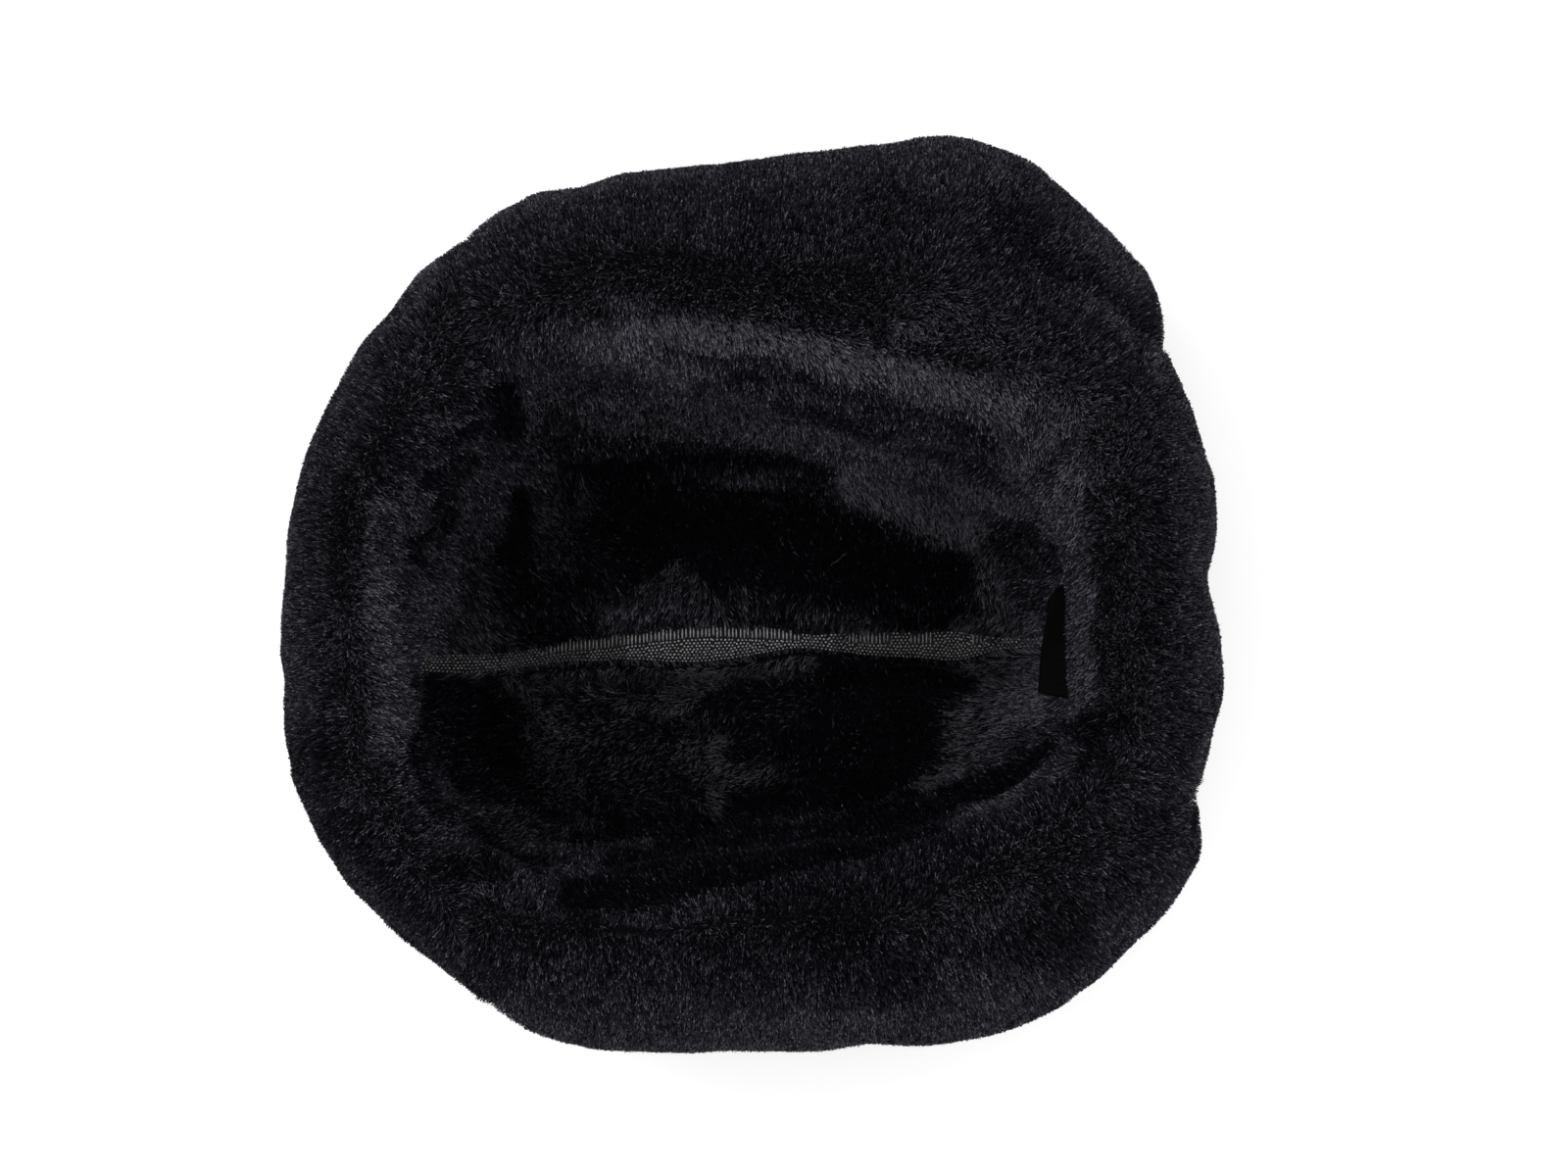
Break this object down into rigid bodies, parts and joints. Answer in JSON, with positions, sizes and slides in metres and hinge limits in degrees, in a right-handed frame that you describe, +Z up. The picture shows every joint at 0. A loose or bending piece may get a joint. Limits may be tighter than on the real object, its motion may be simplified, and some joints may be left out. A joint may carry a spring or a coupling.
{
  "type": "ushanka",
  "caption": "Black shorn-sheepskin winter hat lying upside down on its crown, with peak, ear flaps and neck flap folded up over the rim and the woolly head hollow open upwards",
  "frame": {"origin": "on the surface that the crown rests on, under the middle of the hat's box", "axes": "+X towards the nape, -X towards the front peak, +Y towards the wearer's left ear flap, +Z up, out of the head hollow"},
  "size_m": [0.2991, 0.2899, 0.1327],
  "materials": {
    "shorn_wool": "dense black sheepskin wool, shorn even at about 12 mm, soft low sheen",
    "black_leather": "black sheepskin leather, fine grain, satin",
    "woven_tape": "coarse grey-black woven seam tape, matte",
    "satin_ribbon": "black satin ribbon, smooth, glossy"
  },
  "bodies": {
    "root": {"crown_left": "black_leather", "crown_right": "black_leather", "seam_tape": "woven_tape", "front_peak": "shorn_wool", "ear_flap_left": "shorn_wool", "ear_flap_right": "shorn_wool", "neck_flap": "shorn_wool", "label": "satin_ribbon"}
  },
  "joints": []
}
